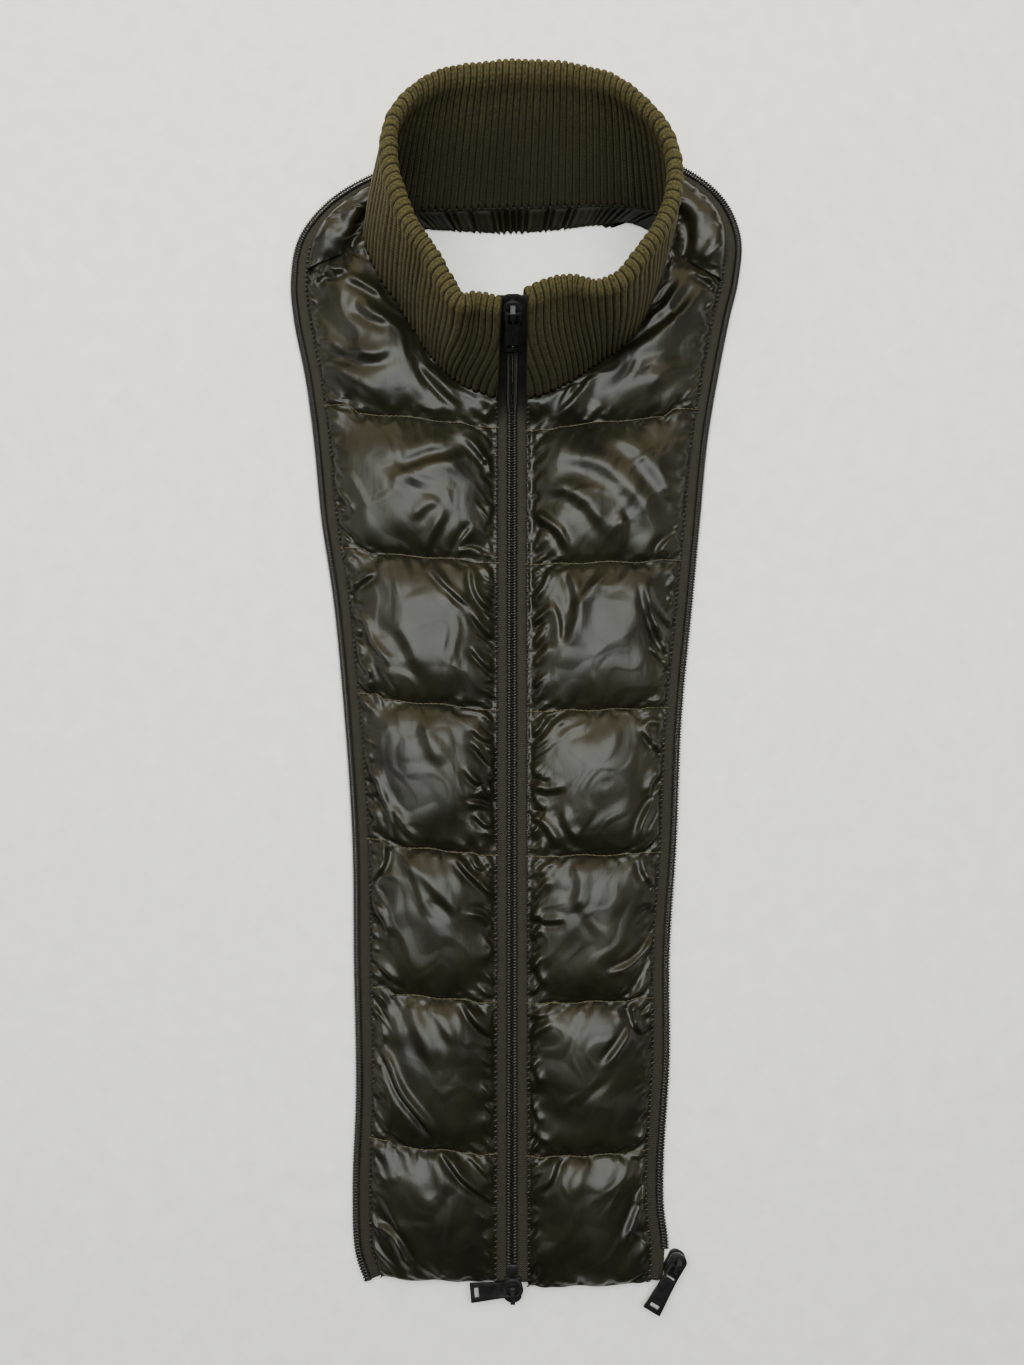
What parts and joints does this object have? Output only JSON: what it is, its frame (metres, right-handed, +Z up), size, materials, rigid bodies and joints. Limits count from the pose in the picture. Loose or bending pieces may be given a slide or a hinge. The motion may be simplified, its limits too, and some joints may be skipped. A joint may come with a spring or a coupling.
{
  "type": "quilted zip-in front insert with rib collar",
  "caption": "Quilted, padded zip-in front insert with a stand-up rib-knit collar, a centre zip and a separating zip round its edge, laid flat.",
  "frame": {"origin": "centre of the whole box in plan, on the surface that the garment lies on", "axes": "+Z up off the surface, +Y from the hem to the neck, +X to the right as seen from above with the collar at the far end"},
  "size_m": [0.251, 0.6268, 0.0789],
  "materials": {
    "nylon": "thin glossy woven nylon, padded and quilted",
    "rib_knit": "olive rib knit",
    "zip_tape": "dark olive herringbone tape",
    "zip_coil": "satin nylon coil",
    "black_hardware": "satin black enamel"
  },
  "bodies": {
    "garment": {"front_left": "nylon", "front_right": "nylon", "back_yoke": "nylon", "collar": "rib_knit", "edge_tape": "zip_tape", "centre_tape_left": "zip_tape", "centre_tape_right": "zip_tape", "edge_coil": "zip_coil", "centre_chain": "zip_coil", "pin_block": "black_hardware", "slider_top": "black_hardware", "slider_bottom": "black_hardware", "slider_edge": "black_hardware"},
    "pull_top": {"tab_top": "black_hardware"},
    "pull_bottom": {"tab_bottom": "black_hardware"},
    "pull_edge": {"tab_edge": "black_hardware"}
  },
  "joints": [
    {"name": "pull_top_hinge", "type": "hinge", "parent": "garment", "child": "pull_top", "pos_m": [-0.00206, 0.18108, 0.07059], "axis": [-1, 0, 0], "range_deg": [0, 150]},
    {"name": "pull_bottom_swing", "type": "hinge", "parent": "garment", "child": "pull_bottom", "pos_m": [-0.00211, -0.29979, 0.00675], "axis": [0, 0, 1], "range_deg": [0, 30]},
    {"name": "pull_edge_hinge", "type": "hinge", "parent": "garment", "child": "pull_edge", "pos_m": [0.08069, -0.28899, 0.00715], "axis": [-0.866, 0.5, 0], "range_deg": [0, 150]}
  ]
}
